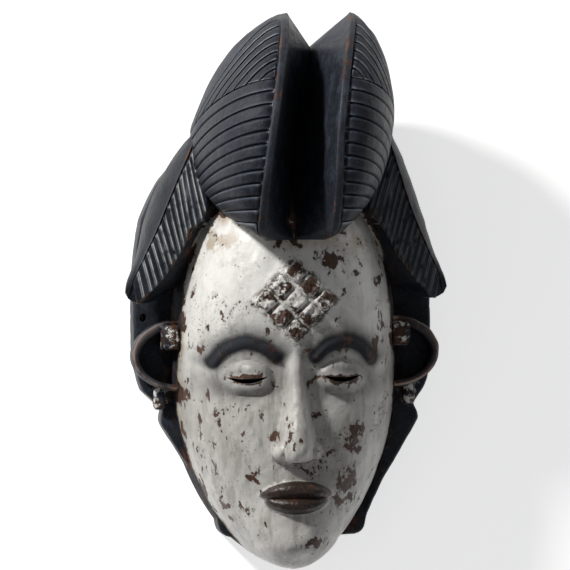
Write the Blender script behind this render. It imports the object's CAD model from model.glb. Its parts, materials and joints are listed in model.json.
"""Carved and painted face mask with a two-lobed hair crest, lying face up on a pale floor."""

import itertools
import json
import math

import bpy
import numpy as np
from mathutils import Matrix, Vector
from mathutils.kdtree import KDTree

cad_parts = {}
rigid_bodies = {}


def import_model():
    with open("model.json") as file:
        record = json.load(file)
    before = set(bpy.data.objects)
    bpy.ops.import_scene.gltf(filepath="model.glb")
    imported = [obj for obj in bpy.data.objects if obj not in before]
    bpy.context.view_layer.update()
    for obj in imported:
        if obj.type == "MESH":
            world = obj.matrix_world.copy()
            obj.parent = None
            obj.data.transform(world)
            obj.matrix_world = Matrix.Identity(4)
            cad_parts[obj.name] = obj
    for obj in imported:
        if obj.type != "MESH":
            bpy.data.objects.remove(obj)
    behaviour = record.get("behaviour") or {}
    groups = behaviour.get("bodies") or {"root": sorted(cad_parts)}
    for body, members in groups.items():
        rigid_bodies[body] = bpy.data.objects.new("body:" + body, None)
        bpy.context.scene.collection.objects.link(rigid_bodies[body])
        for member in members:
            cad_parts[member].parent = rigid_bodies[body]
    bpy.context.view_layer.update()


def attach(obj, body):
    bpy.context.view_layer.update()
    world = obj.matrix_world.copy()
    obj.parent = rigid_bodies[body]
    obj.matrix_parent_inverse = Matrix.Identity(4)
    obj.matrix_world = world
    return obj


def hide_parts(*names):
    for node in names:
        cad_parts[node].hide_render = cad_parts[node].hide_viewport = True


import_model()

bl_info = {
    "name": "Carved Face Mask",
    "version": (1, 0, 0),
    "blender": (4, 5, 0),
    "location": "View3D > Sidebar > Mask",
    "description": "Carves, paints and stages a wooden face mask with a split hair crest",
    "category": "Object",
}

MM = 0.001
MASK_NODE = "mask"
ROOT_BODY = "root"

# The floor glows a little, like a light table, but not under the hollow and the tie hole, where the
# glow would show through. Each of those is an oval: its middle and its reach, in metres.
FLOOR_GLOW = 0.62
UNDER_HOLLOW = ((0.0018, -0.036, 0.0), (0.068, 0.108, 1.0))
UNDER_TIE_HOLE = ((-0.0818, -0.0139, 0.0), (0.005, 0.005, 1.0))
OVAL_EDGE = 1.03

# The stage. A light is its direction from the target, its distance, its size across and its colour.
FLOOR_REACH = 3
FLOOR_DROP = 0.0005
STAGE_TARGET = (-0.0008, 0.0038, 0.05)
SENSOR_WIDTH = 36
CAMERA_REACH = 20
KEY_LIGHT = ((-0.76, 0.7, 0.52), 1.6, 0.2, (1.0, 0.985, 0.96))
FILL_LIGHT = ((0.2, -0.7, 0.9), 1.8, 1.2, (0.92, 0.96, 1.0))
ROOM_LIGHT = 0.14

# Edges that turn by more than SHARP_TURN stay sharp. Faces lower than SEAT_HEIGHT rest on the floor.
SHARP_TURN = math.radians(50)
SEAT_HEIGHT = 2e-4

# Most paint values are distances in millimetres, and this one stands for all that is further.
FAR = 60

# Zones of the carving, kept from the form that each vertex comes from.
HEAD, HAIR, RIM, EAR, BOSS, HOLLOW, SLIT, WING, LUMP = range(9)


class MaskSizes(bpy.types.PropertyGroup):
    """Driving sizes of the mask"""

    face_length: bpy.props.FloatProperty(
        name="Face Length", description="Chin to hairline", default=0.191, unit="LENGTH"
    )
    face_width: bpy.props.FloatProperty(
        name="Face Width", description="Widest part of the face", default=0.137, unit="LENGTH"
    )
    face_depth: bpy.props.FloatProperty(
        name="Face Depth", description="Height of the forehead", default=0.096, unit="LENGTH"
    )
    chin_height: bpy.props.FloatProperty(
        name="Chin Height", description="Height of the chin's lowest point", default=0.06, unit="LENGTH"
    )
    wall: bpy.props.FloatProperty(
        name="Wall", description="Thickness of the wood behind the face", default=0.01, unit="LENGTH"
    )
    crest_rise: bpy.props.FloatProperty(
        name="Crest Rise", description="Hairline to the tips of the crest", default=0.129, unit="LENGTH"
    )
    crest_width: bpy.props.FloatProperty(
        name="Crest Width", description="Width across both lobes", default=0.12, unit="LENGTH"
    )
    crest_depth: bpy.props.FloatProperty(
        name="Crest Depth", description="Height of the crest's ridges", default=0.137, unit="LENGTH"
    )
    crest_lean: bpy.props.FloatProperty(
        name="Crest Lean",
        description="How far the crest's tips lean to one side",
        default=0.019,
        unit="LENGTH",
    )
    cleft_width: bpy.props.FloatProperty(
        name="Cleft Width", description="Gap between the crest's ridges", default=0.034, unit="LENGTH"
    )
    wing_span: bpy.props.FloatProperty(
        name="Tress Span", description="Width across the side tresses", default=0.187, unit="LENGTH"
    )
    wing_depth: bpy.props.FloatProperty(
        name="Tress Depth", description="Height of the side tresses", default=0.066, unit="LENGTH"
    )
    groove: bpy.props.FloatProperty(
        name="Groove Depth", description="Depth of the lines in the hair", default=0.0015, unit="LENGTH"
    )
    rim_width: bpy.props.FloatProperty(
        name="Rim Width", description="Width of the back rim", default=0.176, unit="LENGTH"
    )
    rim_depth: bpy.props.FloatProperty(
        name="Rim Depth", description="Thickness of the back rim", default=0.027, unit="LENGTH"
    )
    ear_length: bpy.props.FloatProperty(
        name="Ear Length", description="Length of an ear loop", default=0.042, unit="LENGTH"
    )
    ear_reach: bpy.props.FloatProperty(
        name="Ear Reach", description="Middle of the mask to an ear's edge", default=0.09, unit="LENGTH"
    )
    ear_height: bpy.props.FloatProperty(
        name="Ear Height", description="Height of an ear above the floor", default=0.045, unit="LENGTH"
    )
    scar_pitch: bpy.props.FloatProperty(
        name="Lozenge Pitch", description="Spacing of the forehead lozenges", default=0.0118, unit="LENGTH"
    )
    upper_tresses: bpy.props.IntProperty(
        name="Upper Tresses", description="Steep tresses at the top of a lobe", default=7, min=2
    )
    lower_tresses: bpy.props.IntProperty(
        name="Lower Tresses", description="Level tresses down the side of a lobe", default=12, min=2
    )
    wing_tresses: bpy.props.IntProperty(
        name="Side Tresses", description="Grooved bands in a side tress", default=15, min=2
    )


def colour_property(name, description, default):
    return bpy.props.FloatVectorProperty(
        name=name, description=description, default=default, subtype="COLOR", size=3, min=0, max=1
    )


class MaskFinish(bpy.types.PropertyGroup):
    """Colours of the coats and the wood"""

    kaolin: colour_property("White Coat", "Mineral white on the face", (0.80, 0.79, 0.76))
    kaolin_shade: colour_property("Grimed Coat", "White coat where dirt has settled", (0.33, 0.315, 0.29))
    crust: colour_property("Crust", "Stained coat beside the hair", (0.45, 0.36, 0.26))
    smoke: colour_property("Smudge", "Black rubbed into the white coat", (0.028, 0.029, 0.031))
    blackening: colour_property("Black Coat", "Pigment on the hair", (0.011, 0.013, 0.019))
    dust: colour_property("Dust", "Dust on the hair", (0.075, 0.092, 0.126))
    pale_dust: colour_property("Pale Dust", "White dust in the side tresses' lines", (0.52, 0.53, 0.54))
    chip: colour_property("Chipped Wood", "Wood where the coat is lost", (0.040, 0.021, 0.014))
    old_lip: colour_property("Lip Coat", "Brown-black on the lips", (0.028, 0.017, 0.013))
    ear_wear: colour_property("Ear Wear", "Pale rubbed wood on the ears", (0.46, 0.35, 0.29))
    bare_edge: colour_property("Rubbed Edge", "Wood on rubbed edges", (0.105, 0.052, 0.033))
    wood: colour_property("Bare Wood", "Uncoated wood inside", (0.23, 0.125, 0.065))
    wood_dark: colour_property("Wood Grain", "Dark lines in the bare wood", (0.10, 0.050, 0.025))


class MaskStudio(bpy.types.PropertyGroup):
    """Camera and light"""

    yaw: bpy.props.FloatProperty(
        name="Yaw",
        description="Turn of the camera to the mask's side",
        default=math.radians(-6.5),
        subtype="ANGLE",
    )
    roll: bpy.props.FloatProperty(
        name="Roll",
        description="Lean of the mask in the picture",
        default=math.radians(-1.1),
        subtype="ANGLE",
    )
    distance: bpy.props.FloatProperty(
        name="Distance", description="Camera to the mask", default=2.2, unit="LENGTH"
    )
    view_height: bpy.props.FloatProperty(
        name="View Height", description="Height of the field seen", default=0.3306, unit="LENGTH"
    )
    key_power: bpy.props.FloatProperty(
        name="Key Light", description="Power of the key light in watts", default=26.0, min=0, unit="POWER"
    )
    fill_power: bpy.props.FloatProperty(
        name="Fill Light", description="Power of the fill light in watts", default=1.8, min=0, unit="POWER"
    )


# Curves and helpers


def through(pairs):
    """A smooth function through pairs of (place, value), with no overshoot."""
    places, values = np.array(pairs, float).T
    slopes = np.diff(values) / np.diff(places)
    before, after = slopes[:-1], slopes[1:]
    same = before * after > 0
    inner = np.where(same, 2 * before * after / np.where(same, before + after, 1), 0)
    tangents = np.concatenate([slopes[:1], inner, slopes[-1:]])

    def at(place):
        place = np.asarray(place, float)
        i = np.clip(np.searchsorted(places, place, side="right") - 1, 0, len(slopes) - 1)
        span = places[i + 1] - places[i]
        t = np.clip((place - places[i]) / span, 0, 1)
        rise = t * t * (3 - 2 * t)
        lead = t * (1 - t) ** 2 * span * tangents[i]
        tail = t * t * (1 - t) * span * tangents[i + 1]
        return values[i] + (values[i + 1] - values[i]) * rise + lead - tail

    return at


def rail(rows, scale, shift=(0, 0, 0)):
    """Rows of (place, across, up, out) become a function from place to points in millimetres."""
    curves = [through([(row[0], row[k + 1] * scale[k] + shift[k]) for row in rows]) for k in range(3)]
    return lambda at: np.stack([curve(at) for curve in curves], axis=-1)


def lerp(a, b, t):
    return a + (b - a) * t


def ease(low, high, value):
    t = np.clip((value - low) / (high - low), 0, 1)
    return t * t * (3 - 2 * t)


def round_end(t):
    return np.sqrt(1 - (1 - np.clip(t, 0, 1)) ** 2)


def higher(a, b, blend):
    """The higher of two surfaces with a soft join."""
    mix = np.clip(0.5 + (b - a) / (2 * blend), 0, 1)
    return lerp(a, b, mix) + blend * mix * (1 - mix)


def hill(x, y, centre, reach):
    return np.exp(-(((x - centre[0]) / reach[0]) ** 2) - ((y - centre[1]) / reach[1]) ** 2)


def tool_marks(points, pitch, seed):
    """Shallow uneven ripples that a knife leaves, between -1 and 1."""
    draw = np.random.default_rng(seed)
    waves = 9
    way = draw.normal(size=(waves, 3))
    way /= np.linalg.norm(way, axis=1, keepdims=True)
    turn = draw.uniform(0, 2 * math.pi, waves)
    stretch = draw.uniform(0.6, 1.7, waves)
    phase = (points @ way.T) * (2 * math.pi / pitch) * stretch + turn
    return np.sin(phase + 0.9 * np.sin(phase[..., ::-1])).sum(axis=-1) / math.sqrt(waves * 2)


class Form:
    """A closed shell with the zone that its vertices belong to."""

    def __init__(self, name, zone, points, faces):
        self.name, self.zone = name, zone
        self.points = np.asarray(points, float)
        self.faces = faces
        if self.volume() < 0:
            self.faces = [face[::-1] for face in faces]

    def volume(self):
        total = 0.0
        for face in self.faces:
            corners = self.points[list(face)]
            for k in range(1, len(face) - 1):
                total += np.dot(corners[0], np.cross(corners[k], corners[k + 1]))
        return total

    def mirrored(self):
        other = Form.__new__(Form)
        other.name, other.zone = self.name + "_other", self.zone
        other.points = self.points * (-1, 1, 1)
        other.faces = [face[::-1] for face in self.faces]
        return other


def shell(name, zone, rings, start=None, end=None):
    """Closed rings joined in rows, with a point at each end."""
    rings = np.asarray(rings, float)
    rows, columns = rings.shape[:2]
    first = rings[0].mean(axis=0) if start is None else start
    last = rings[-1].mean(axis=0) if end is None else end
    points = np.vstack([rings.reshape(-1, 3), [first, last]])
    top, foot = rows * columns, rows * columns + 1
    faces = []
    for c in range(columns):
        d = (c + 1) % columns
        faces.append((top, c, d))
        for r in range(rows - 1):
            here, below = r * columns, (r + 1) * columns
            faces.append((here + d, here + c, below + c, below + d))
        last_row = (rows - 1) * columns
        faces.append((foot, last_row + d, last_row + c))
    return Form(name, zone, points, faces)


def link_mesh(name, points, faces, collection):
    mesh = bpy.data.meshes.new(name)
    mesh.from_pydata(points, [], faces)
    piece = bpy.data.objects.new(name, mesh)
    collection.objects.link(piece)
    return piece


class Carving:
    """Every form of the mask, in millimetres: Y 0 at the chin, Z 0 at the back rim."""

    # How square the face's sections and its outline are, below the cheeks and above them.
    edge_power = 2.3
    jaw_power = 1.85
    temple_power = 2.4
    chin_round = 16
    chin_undercut = 16
    # The flat band along a ridge of the crest, and how far the tresses lie below it.
    band = 4.5
    band_step = 1.4
    # How deep one form is sunk into the next.
    sink = 6
    # Where the lobes part, as a share of the crest's rise.
    notch_up = 0.825
    crest_taper = 0.38
    rim_shift = 3.5
    # The lobes' underside stays this far above the back rim's flat side.
    lobe_gap = 0.5
    # Each lip: how wide it is, where its middle is and how it bends.
    lip_rows = ((1.0, 0.155, -3.2), (0.88, -0.17, 2.4))

    def __init__(self, sizes):
        for key in sizes.__annotations__:
            value = getattr(sizes, key)
            setattr(self, key, value / MM if isinstance(value, float) else value)
        self.length = self.face_length + self.crest_rise
        self.half = self.face_width / 2
        self.cheek_y = 0.62 * self.face_length
        self.head_top = 1.235 * self.face_length
        self.eye = self.face_width / 5
        self.brow_y = self.face_length * 2 / 3
        self.eye_y = 0.58 * self.face_length
        self.nose_y = self.face_length / 3
        self.mouth_y = self.nose_y * 2 / 3
        self.scar_y = 0.81 * self.face_length
        self.ear_y = 0.65 * self.face_length
        self.profile = through(
            [
                (0, 0.8),
                (0.08, 0.87),
                (0.33, 0.9),
                (0.58, 0.92),
                (0.67, 0.965),
                (0.84, 1),
                (1, 0.96),
                (1.12, 0.82),
                (1.235, 0.5),
            ]
        )
        self.make_crest_rails()
        self.make_wing_rails()

    # Head and face

    def face_half(self, y):
        """Half the head's width."""
        low = y < self.cheek_y
        power = np.where(low, self.jaw_power, self.temple_power)
        reach = np.where(low, self.cheek_y, self.head_top - self.cheek_y)
        share = np.clip(np.abs(y - self.cheek_y) / reach, 0, 1)
        return self.half * (1 - share**power) ** (1 / power)

    def base_height(self, y):
        """Height of the head's underside, which rises under the chin."""
        return self.chin_height * np.clip(1 - y / self.chin_undercut, 0, 1)

    def crown_height(self, y):
        """Height of the bare head along its middle."""
        full = self.face_depth * self.profile(y / self.face_length)
        chin = lerp(self.chin_height, full, round_end(y / self.chin_round))
        return chin * round_end((self.head_top - y) / (2 * self.chin_round))

    def face_height(self, x, y):
        """Height of the bare head."""
        across = np.clip(np.abs(x) / np.maximum(self.face_half(y), 1e-6), 0, 1)
        share = (1 - across**self.edge_power) ** (1 / self.edge_power)
        return lerp(self.base_height(y), self.crown_height(y), share)

    def brow_distance(self, x, y):
        """Distance to the middle line of a brow, the place along it and the line's height there."""
        places = np.array([(0.42, -0.2), (0.7, 0.02), (1.05, 0.12), (1.4, 0), (1.66, -0.28)])
        line = through([(across * self.eye, self.brow_y + up * self.eye) for across, up in places])
        ax = np.clip(np.abs(x), places[0][0] * self.eye, places[-1][0] * self.eye)
        along = (ax / self.eye - places[0][0]) / (places[-1][0] - places[0][0])
        samples = np.linspace(places[0][0], places[-1][0], 40) * self.eye
        best = np.full(np.shape(x), 1e9)
        for sx, sy in zip(samples, line(samples)):
            best = np.minimum(best, (np.abs(x) - sx) ** 2 + (y - sy) ** 2)
        return np.sqrt(best), along, line(ax)

    def lips(self, x, y):
        """For each lip, a value that is 1 in its middle and 0 at its edge."""
        for wide, centre, bend in self.lip_rows:
            along = x / (0.8 * self.eye * wide)
            up = (y - self.mouth_y - centre * self.eye - bend * along**2) / (0.2 * self.eye)
            yield 1 - along**2 - up**2

    def relief(self, x, y):
        """Height of the carved features above the bare face."""
        ax = np.abs(x)
        eye = self.eye
        # Sockets, cheeks, chin and the hollows beside the mouth
        out = -3.2 * hill(ax, y, (eye, self.eye_y - 1), (0.62 * eye, 0.47 * eye))
        out += 2.6 * hill(ax, y, (1.3 * eye, 0.42 * self.face_length), (14, 22))
        out += 2.6 * hill(x, y, (0, 0.085 * self.face_length), (15, 9))
        out -= 2.2 * hill(ax, y, (0.95 * eye, 0.2 * self.face_length), (10, 14))
        # Brows
        distance, along, _ = self.brow_distance(x, y)
        width = 2.4 * (0.75 + 0.5 * np.sin(math.pi * along))
        out += 2.1 * np.exp(-((distance / width) ** 4))
        # Lids
        lid = 1 - ((ax - eye) / (0.56 * eye)) ** 2
        lid -= ((y - self.eye_y + (((ax - eye) / (0.56 * eye)) ** 2)) / (0.37 * eye)) ** 2
        out = higher(out, -2.8 + 7.3 * np.sqrt(np.clip(lid, 0, 1)), 0.9)
        # Nose from the brows down, its wings and the groove under it
        t = (self.brow_y - y) / (self.brow_y - self.nose_y)
        widths = [(0, 0.18), (0.5, 0.29), (0.85, 0.44), (1, 0.4), (1.06, 0.3)]
        rises = [(-0.05, -3), (0, 0), (0.3, 7.2), (0.8, 18.2), (0.9, 19), (0.985, 16), (1.05, 0), (1.1, -4)]
        half = through([(place, width * eye) for place, width in widths])(t)
        across = np.clip(ax / half, 0, 1)
        out = higher(out, lerp(-4, through(rises)(t), (1 - across**2.2) ** 0.75), 1.6)
        wing = 1 - ((ax - 0.36 * eye) / (0.19 * eye)) ** 2
        wing = wing - ((y - self.nose_y - 0.2 * eye) / (0.23 * eye)) ** 2
        out = higher(out, -3 + 14.2 * np.sqrt(np.clip(wing, 0, 1)), 1.1)
        out -= hill(x, y, (0, self.nose_y - 7), (2.4, 5.5))
        # Lips
        for lip in self.lips(x, y):
            out = higher(out, -2.2 + 8.7 * np.sqrt(np.clip(lip, 0, 1)), 0.5)
        return out

    def head(self):
        """The head with the carved face, flat underneath."""
        columns, rows, back = 176, 206, 10
        chin_part, crown_part = 15, 22
        chin_turn, crown_turn = np.linspace(0, math.pi / 2, 26), np.linspace(0, math.pi / 2, 30)
        levels = [
            ((1 - np.cos(chin_turn)) * chin_part)[1:],
            np.linspace(chin_part, self.head_top - crown_part, rows - 50)[1:],
            self.head_top - crown_part * (1 - np.sin(crown_turn))[1:-1],
        ]
        yy = np.concatenate(levels)[::-1][:, None]
        turn = np.linspace(math.pi, 0, columns)
        c, s = np.cos(turn), np.sin(turn)
        reach = (np.abs(c) ** self.edge_power + np.abs(s) ** self.edge_power) ** (-1 / self.edge_power)
        x = self.face_half(yy) * (reach * c)[None]
        z = lerp(self.base_height(yy), self.crown_height(yy), (reach * s)[None])
        points = np.stack([x, yy + 0 * x, z], axis=-1)
        front = ease(0.25, 0.6, (reach * s))[None] * ease(0, 10, yy)
        points[..., 2] += self.relief(x, yy + 0 * x) * front
        marks = 0.26 * tool_marks(points, 19, 3) + 0.13 * tool_marks(points, 8, 4)
        middle = np.array([0.0, 0.0, 40.0])
        outward = points - (points * (0, 1, 0) + middle)
        outward /= np.linalg.norm(outward, axis=-1, keepdims=True)
        points += outward * (marks * ease(0, 14, z))[..., None]
        share = np.linspace(1, -1, back + 2)[1:-1][None]
        under = [self.face_half(yy) * share, yy + 0 * share, self.base_height(yy) + 0 * share]
        under = np.stack(under, axis=-1)
        rings = np.concatenate([points, under], axis=1)
        return shell("head", HEAD, rings, (0, self.head_top, 0), (0, 0, self.chin_height))

    def hollow(self):
        """The cut behind the face, gouged to an even wall and open at the back."""
        rows, columns = 60, 84
        below, round_over, power = 8, 40, 2 / 2.2
        foot, top = self.chin_undercut + self.wall, self.head_top - 1.4 * self.wall
        y = lerp(foot, top, (1 + np.cos(np.linspace(0, math.pi, rows)[1:-1])) / 2)[:, None]
        turn = np.linspace(0, 2 * math.pi, columns, endpoint=False)
        ends = round_end((y - foot) / round_over) * round_end((top - y) / round_over)
        c, s = -np.cos(turn)[None], np.sin(turn)[None]
        x = (self.face_half(y) - 0.7 * self.wall) * ends * np.sign(c) * np.abs(c) ** power
        high = (self.crown_height(y) - self.wall) * ends * np.abs(s) ** power
        z = np.where(s >= 0, high, -below * ends * np.abs(s) ** power)
        points = np.stack([x, y + 0 * x, z], axis=-1)
        gouge = 0.5 * tool_marks(points * (1, 0.45, 1), 9, 11)
        outward = points * (1, 0, 1)
        outward /= np.maximum(np.linalg.norm(outward, axis=-1, keepdims=True), 1e-6)
        points += outward * (gouge * ease(2, 12, z))[..., None]
        return shell("hollow", HOLLOW, points)

    # Crest

    def make_crest_rails(self):
        """The lines that a lobe is built on: ridge, outer edge, cleft's floor and underside."""
        shift = (0, self.face_length, 0)
        ridge_rows = [
            (0, 1.08, 1, 0.54),
            (0.06, 1.05, 0.96, 0.66),
            (0.15, 1, 0.87, 0.785),
            (0.3, 0.97, 0.715, 0.905),
            (0.5, 0.98, 0.505, 0.99),
            (0.68, 1.04, 0.31, 1),
            (0.82, 1.09, 0.165, 0.955),
            (0.92, 1.1, 0.055, 0.885),
            (0.97, 1.06, 0, 0.82),
            (1, 1, -0.015, 0.73),
        ]
        narrow = self.cleft_width / self.crest_width
        edge_rows = [
            (0, 1.08 * narrow, 1, 0.54),
            (0.01, 0.5, 0.95, 0.47),
            (0.02, 0.645, 0.865, 0.38),
            (0.035, 0.785, 0.76, 0.32),
            (0.06, 0.9, 0.645, 0.31),
            (0.12, 0.965, 0.56, 0.31),
            (0.32, 1, 0.475, 0.33),
            (0.43, 0.985, 0.38, 0.365),
            (0.6, 0.915, 0.255, 0.44),
            (0.82, 0.75, 0.145, 0.57),
            (0.93, 0.56, 0.065, 0.66),
            (1, narrow, -0.015, 0.73),
        ]
        self.ridge = rail(ridge_rows, (self.cleft_width / 2, self.crest_rise, self.crest_depth), shift)
        self.edge = rail(edge_rows, (self.crest_width / 2, self.crest_rise, self.crest_depth), shift)
        self.valley_out = through(
            [(-0.015, 0.68), (0.07, 0.61), (0.18, 0.54), (0.38, 0.48), (0.6, 0.47)]
            + [(self.notch_up, 0.58), (1, 0.54)]
        )
        self.under_out = through(
            [(0.47, -0.05), (0.55, 0.03), (0.69, 0.13), (0.82, 0.25), (0.92, 0.38), (1, 0.54)]
        )

    def lobe_surface(self, at, turn, inset):
        """A point on a lobe's outer side: at runs tip to foot, turn runs ridge to edge."""
        ridge, edge = self.ridge(at), self.edge(at)
        near = np.clip((edge[..., 0] - ridge[..., 0]) / (3 * self.band), 0, 1)
        turn = np.clip(turn, 0, 1)
        s, c = np.sin(turn * math.pi / 2), np.cos(turn * math.pi / 2)
        start = ridge[..., 0] + (self.band + 0.4) * near
        fall = 0.85 * (1 - c) + 0.15 * s
        x = lerp(start, edge[..., 0], s**0.9) - inset * near * s
        y = lerp(ridge[..., 1], edge[..., 1], fall)
        z = lerp(edge[..., 2], ridge[..., 2], c**0.9) - inset * near * c
        return np.stack([x, y, z], axis=-1)

    def lobe_core(self):
        """One lobe of the crest with its side of the cleft, a groove's depth below the tresses."""
        at = np.concatenate([[0.004, 0.01, 0.02, 0.035], np.linspace(0.05, 0.97, 92), [0.98, 0.992]])
        ridge, edge = self.ridge(at), self.edge(at)
        near = np.clip((edge[:, 0] - ridge[:, 0]) / (3 * self.band), 0, 1)
        up = (ridge[:, 1] - self.face_length) / self.crest_rise
        apart = np.clip((up - self.notch_up) / (1 - self.notch_up), 0, 1)
        valley_x = lerp(-self.band_step, self.ridge(0.0)[0], apart)
        valley = np.stack([valley_x, ridge[:, 1], self.valley_out(up) * self.crest_depth], axis=-1)
        rings = []
        for share in (0, 0.12, 0.25, 0.4, 0.55, 0.7, 0.82, 0.91):
            wall = lerp(valley, ridge, share)
            wall[:, 0] += 1.1 * math.sin(math.pi * share) * (1 - apart)
            wall += (0.22 * tool_marks(wall, 11, 21) * math.sin(math.pi * share))[:, None] * (1, 0, 0)
            rings.append(wall)
        band = self.band
        rounding = ((-0.15, 0.9), (0.25, 0.25), (0.9, 0), (0.5 * band, -0.05))
        for across, drop in (*rounding, (band - 0.9, 0), (band - 0.25, 0.25), (band, 0.9)):
            rings.append(ridge + np.stack([across * near, 0 * near, -drop * near], axis=-1))
        depth = self.band_step + self.groove + 0.15
        for turn in np.linspace(0, 1, 26):
            rings.append(self.lobe_surface(at, turn + 0 * at, depth))
        up_edge = (edge[:, 1] - self.face_length) / self.crest_rise
        low = np.minimum(edge[:, 2], self.under_out(up_edge) * self.crest_depth)
        for share in (0.93, 0.75):
            height = lerp(edge[:, 2] - 2, low, ease(1, 0.75, share))
            rings.append(np.stack([share * edge[:, 0], edge[:, 1], height], axis=-1))
        height = np.minimum(valley[:, 2], self.under_out(up) * self.crest_depth)
        back = np.stack([valley[:, 0], ridge[:, 1], height], axis=-1)
        rings += [lerp(back, rings[-1], 0.5), back]
        rings = np.stack(rings, axis=1)
        rings[..., 2] = np.maximum(rings[..., 2], self.lobe_gap)
        return shell("lobe", HAIR, rings, self.ridge(0.0), self.ridge(1.0))

    def strip(self, name, zone, first, second, surface, steps, jitter, depth=1.0):
        """One tress between two lines on a surface, rounded where it meets the grooves."""
        q = np.linspace(0, 1, steps)
        a, b = first(q), second(q)
        width = np.linalg.norm(surface(*a, 0) - surface(*b, 0), axis=-1)
        inward = np.array([-0.08, 0.2, 0.5, 0.9, 1.5])
        low = np.minimum(inward[None] / np.maximum(width, 0.4)[:, None], 0.1 * np.arange(5)[None])
        middle = [share + 0 * low[:, :1] for share in (0.33, 0.5, 0.67)]
        shares = np.concatenate([low, *middle, 1 - low[:, ::-1]], axis=1)
        reach = np.minimum(np.minimum(shares, 1 - shares) * width[:, None], 1.5)
        cut = depth * self.groove * (1 - ease(-0.1, 1.15, reach)) * np.clip(width / 3.2, 0.15, 1)[:, None]
        ends = 0.9 * (1 - ease(0, 0.035, q)) + 1.1 * (1 - ease(0, 0.03, 1 - q))
        across = [lerp(start[:, None], stop[:, None], shares) for start, stop in zip(a, b)]
        top = surface(*across, cut + ends[:, None] - jitter)
        bury = self.groove + 2.6
        under = [
            surface(lerp(a[0], b[0], w)[:, None], lerp(a[1], b[1], w)[:, None], bury) for w in (0.9, 0.1)
        ]
        return shell(name, zone, np.concatenate([top, *under], axis=1))

    def lobe_tresses(self):
        """Steep tresses at the top of a lobe and level ones down its side."""
        draw = np.random.default_rng(7)
        surface = lambda at, turn, inset: self.lobe_surface(at, turn, self.band_step + inset)
        split, foot, steps = 0.325, 0.966, 46
        starts = np.linspace(0.055, split, self.upper_tresses + 1)
        stops = np.linspace(0.86, 0.0, self.upper_tresses + 1)
        lines = [lambda q: (lerp(0.03, split, q**1.2), 1 + 0 * q)]
        for start, stop in zip(starts, stops):
            lines.append(lambda q, a=start, b=stop: (lerp(a, split, q**1.25), b * q**0.8 + 0.002))
        tresses = []
        for k in range(len(lines) - 1):
            jitter = draw.uniform(-0.12, 0.12)
            tresses.append(self.strip(f"upper{k}", HAIR, lines[k], lines[k + 1], surface, steps, jitter))
        probe = np.linspace(split, foot, 200)
        heights = self.ridge(probe)[:, 1]
        levels = np.linspace(heights[0], heights[-1], self.lower_tresses + 1)
        levels[1:-1] += draw.uniform(-0.35, 0.35, self.lower_tresses - 1)
        marks = np.interp(-levels, -heights, probe)
        for k in range(self.lower_tresses):
            first, second = (lambda q, mark=mark: (mark + 0 * q, q) for mark in marks[k : k + 2])
            jitter = draw.uniform(-0.15, 0.15)
            tresses.append(self.strip(f"lower{k}", HAIR, first, second, surface, steps, jitter))
        return tresses

    # Side tresses

    def make_wing_rails(self):
        """The lines that a side tress is built on, from its top to its tip: roof, inner and outer edge."""
        scale = (self.wing_span / 2, self.face_length, self.wing_depth)
        top, tip = (0, 0.595, 1.32, 0.85), (1, 0.985, 0.825, 0.76)
        roof = [
            (0.06, 0.61, 1.295, 0.94),
            (0.3, 0.677, 1.205, 1),
            (0.6, 0.792, 1.055, 0.985),
            (0.85, 0.897, 0.942, 0.9),
            (0.97, 0.96, 0.876, 0.82),
        ]
        inner = [
            (0.06, 0.5, 1.115, 1),
            (0.3, 0.6, 1.022, 0.98),
            (0.6, 0.717, 0.922, 0.95),
            (0.85, 0.848, 0.845, 0.86),
            (0.97, 0.935, 0.81, 0.77),
        ]
        outer = [
            (0.06, 0.64, 1.3, 0.6),
            (0.3, 0.743, 1.22, 0.58),
            (0.6, 0.861, 1.079, 0.55),
            (0.85, 0.925, 0.942, 0.58),
            (0.97, 0.99, 0.848, 0.66),
        ]
        self.wing_roof, self.wing_inner, self.wing_outer = (
            rail([top, *rows, tip], scale) for rows in (roof, inner, outer)
        )

    def wing_surface(self, at, share, inset):
        """A point on the grooved band of a side tress: share runs from the inner edge to the roof."""
        point = lerp(self.wing_inner(at), self.wing_roof(at), np.asarray(share)[..., None])
        point[..., 2] += 0.9 * np.sin(math.pi * np.clip(share, 0, 1)) - inset
        return point

    def wing_core(self):
        """One side tress without its grooved strips, seated in the rim at the top and free at its tip."""
        at = np.concatenate([[0.02, 0.04], np.linspace(0.06, 0.97, 70), [0.985]])
        inner, roof, outer = self.wing_inner(at), self.wing_roof(at), self.wing_outer(at)
        seated = 1 - np.clip((at - 0.55) / 0.4, 0, 1)
        under = lerp(0.62 * self.wing_depth, self.rim_depth - self.sink, seated)
        depth = self.groove + 0.15
        foot_x = inner[:, 0] - self.sink * (1 + 4 * seated)
        drop = np.minimum(3.5, 0.5 * (inner[:, 2] - under))
        rings = [
            np.stack([foot_x, inner[:, 1], np.minimum(under, inner[:, 2] - 2)], axis=-1),
            inner - np.stack([0.5 + 0 * at, 0 * at, drop], axis=-1),
        ]
        for share in np.linspace(0.02, 0.95, 9):
            rings.append(self.wing_surface(at, share + 0 * at, depth))
        rings.append(lerp(inner, roof, 0.985) - (0, 0, 0.3))
        for share in np.linspace(0, 1, 12):
            bulge = 2.2 * math.sin(math.pi * share)
            face = lerp(roof, outer, share) + np.array([bulge, 0, bulge])
            face += (0.25 * tool_marks(face, 14, 31) * math.sin(math.pi * share))[:, None] * (0.7, 0, 0.7)
            rings.append(face)
        rings.append(outer - np.stack([0.6 + 0 * at, 0 * at, 2.5 + 0 * at], axis=-1))
        buried = [outer[:, 0] - self.sink, outer[:, 1], np.minimum(under, outer[:, 2] - 4)]
        rings.append(np.stack(buried, axis=-1))
        return shell("wing", WING, np.stack(rings, axis=1), self.wing_roof(0.0), self.wing_roof(1.0))

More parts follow.
